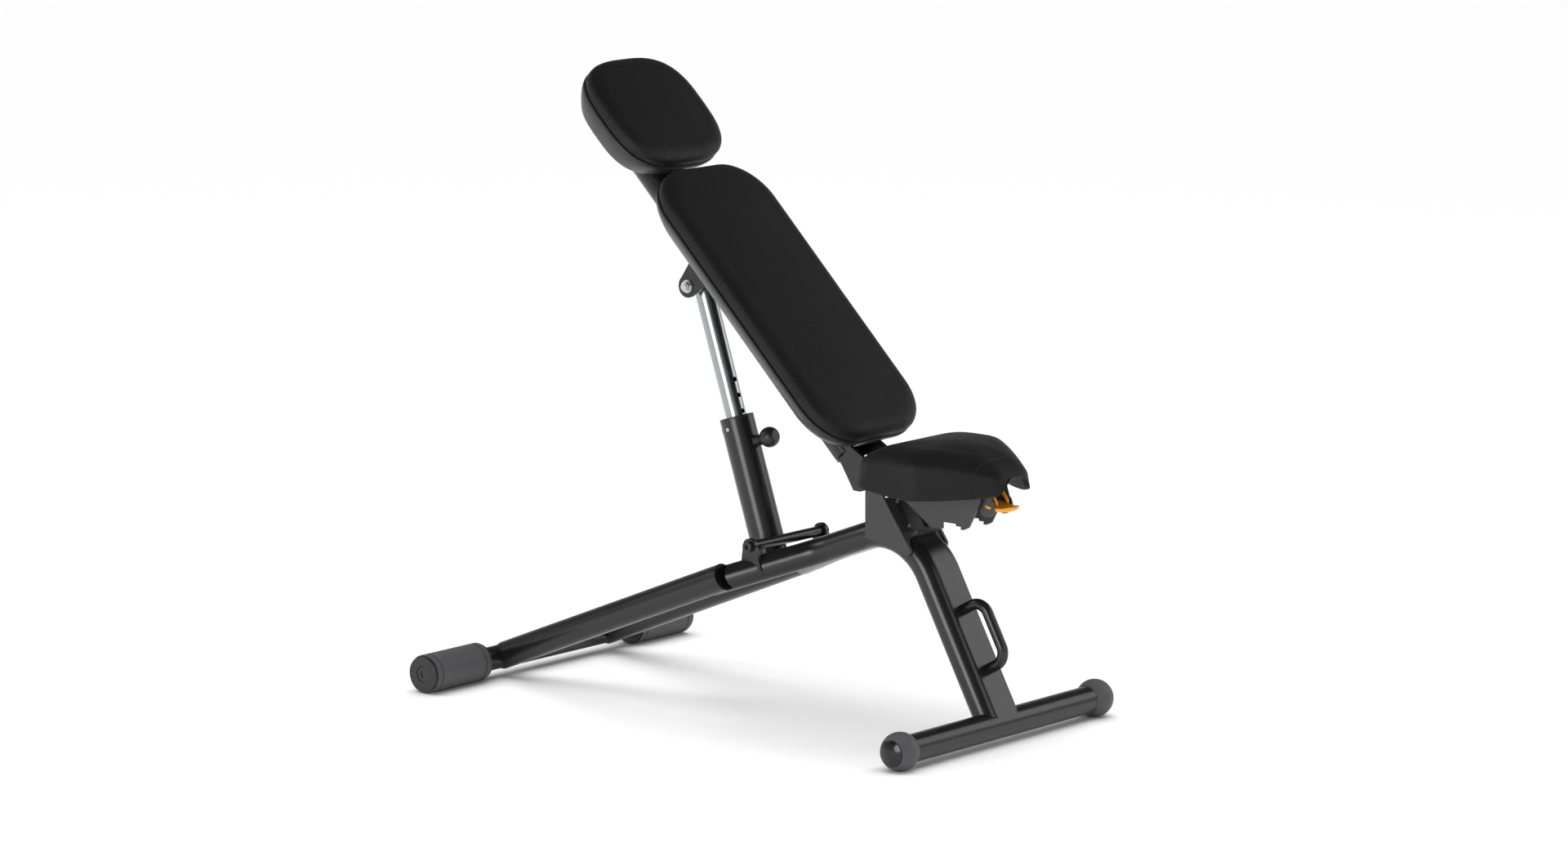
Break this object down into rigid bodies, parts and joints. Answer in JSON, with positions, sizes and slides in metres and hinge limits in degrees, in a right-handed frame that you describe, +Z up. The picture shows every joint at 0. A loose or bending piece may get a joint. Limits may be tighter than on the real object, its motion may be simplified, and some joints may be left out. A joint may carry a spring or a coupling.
{
  "type": "adjustable weight bench",
  "caption": "Adjustable weight bench with a reclining padded backrest and head pad, a telescopic prop with a pull pin, a tilting seat with a release lever, transport rollers and a grab handle.",
  "frame": {"origin": "on the floor, at the middle of the bench's overall box", "axes": "+X from the transport rollers towards the seat's nose and the foot bar, +Y to the user's left, +Z up"},
  "size_m": [1.1425, 0.73, 1.1629],
  "materials": {
    "frame_paint": "semi-gloss",
    "plate_paint": "matt",
    "dark_fastener": "satin",
    "zinc_steel": "satin",
    "chromed_tube": "mirror",
    "vinyl": "fine grain",
    "moulded_shell": "satin",
    "black_plastic": "satin",
    "grey_rubber": "matt",
    "gloss_cap": "gloss",
    "amber_plastic": "semi-gloss"
  },
  "bodies": {
    "frame": {"spine_tube": "frame_paint", "cross_tube": "frame_paint", "foot_tube": "frame_paint", "grab_handle": "frame_paint", "seat_stop_bracket": "plate_paint", "guide_strip": "black_plastic", "guide_strip_screws": "zinc_steel", "hinge_shaft": "zinc_steel", "hinge_shaft_nuts": "zinc_steel", "post_pivot_tube": "frame_paint", "post_pivot_bolts": "dark_fastener", "left_leg_tube": "frame_paint", "left_fork_tube": "frame_paint", "left_leg_plug": "black_plastic", "left_axle": "zinc_steel", "left_axle_screw": "dark_fastener", "left_ball_foot": "grey_rubber", "left_ball_foot_cap": "gloss_cap", "left_cheek_plate": "plate_paint", "left_post_lug": "frame_paint", "right_leg_tube": "frame_paint", "right_fork_tube": "frame_paint", "right_leg_plug": "black_plastic", "right_axle": "zinc_steel", "right_axle_screw": "dark_fastener", "right_ball_foot": "grey_rubber", "right_ball_foot_cap": "gloss_cap", "right_cheek_plate": "plate_paint", "right_post_lug": "frame_paint"},
    "left_wheel": {"left_roller": "grey_rubber", "left_roller_hub": "black_plastic"},
    "right_wheel": {"right_roller": "grey_rubber", "right_roller_hub": "black_plastic"},
    "backrest": {"back_tube": "frame_paint", "back_tube_plug": "black_plastic", "left_hinge_plate": "frame_paint", "right_hinge_plate": "frame_paint", "left_post_ear": "frame_paint", "right_post_ear": "frame_paint", "ear_bolt": "zinc_steel", "back_shell": "moulded_shell", "back_cushion": "vinyl", "head_shell": "moulded_shell", "head_cushion": "vinyl", "pad_screws": "zinc_steel"},
    "post": {"chrome_post": "chromed_tube"},
    "sleeve": {"post_sleeve": "frame_paint", "guide_bush": "black_plastic", "guide_bush_screws": "zinc_steel", "pin_housing": "dark_fastener", "pin_spring": "zinc_steel"},
    "pin": {"pop_pin": "black_plastic"},
    "seat": {"seat_pan": "plate_paint", "seat_cushion": "vinyl", "left_seat_plate": "plate_paint", "right_seat_plate": "plate_paint", "lever_pin": "zinc_steel", "lever_spring": "zinc_steel"},
    "lever": {"seat_lever": "amber_plastic", "latch_hooks": "plate_paint"}
  },
  "joints": [
    {"name": "backrest_hinge", "type": "hinge", "parent": "frame", "child": "backrest", "pos_m": [0.2755, 0, 0.452], "axis": [0, 1, 0], "range_deg": [-45, 25]},
    {"name": "post_hinge", "type": "hinge", "parent": "backrest", "child": "post", "pos_m": [-0.1622, 0, 0.76242], "axis": [0, 1, 0], "range_deg": [-1.3, 2.3]},
    {"name": "post_slide", "type": "slide", "parent": "post", "child": "sleeve", "axis": [0.3171, 0, -0.9484], "range_m": [-0.19, 0.106]},
    {"name": "pin_pull", "type": "slide", "parent": "sleeve", "child": "pin", "axis": [0.9484, 0, 0.3171], "range_m": [0, 0.01], "stiffness_N_per_m": 900, "springref_m": -0.01},
    {"name": "seat_hinge", "type": "hinge", "parent": "frame", "child": "seat", "pos_m": [0.2755, 0, 0.452], "axis": [0, -1, 0], "range_deg": [0, 9]},
    {"name": "lever_pull", "type": "hinge", "parent": "seat", "child": "lever", "pos_m": [0.5035, 0, 0.468], "axis": [0, -1, 0], "range_deg": [0, 12], "stiffness_Nm_per_rad": 2.5, "springref_deg": -17.19},
    {"name": "left_roller_spin", "type": "hinge", "parent": "frame", "child": "left_wheel", "pos_m": [-0.5365, 0.287, 0.036], "axis": [0, 1, 0], "continuous": true},
    {"name": "right_roller_spin", "type": "hinge", "parent": "frame", "child": "right_wheel", "pos_m": [-0.5365, -0.287, 0.036], "axis": [0, 1, 0], "continuous": true}
  ],
  "couplings": [
    {"joint": "post_hinge", "follows": "backrest_hinge", "ratio": -0.05},
    {"joint": "post_slide", "follows": "backrest_hinge", "m_per_rad": 0.24064}
  ]
}
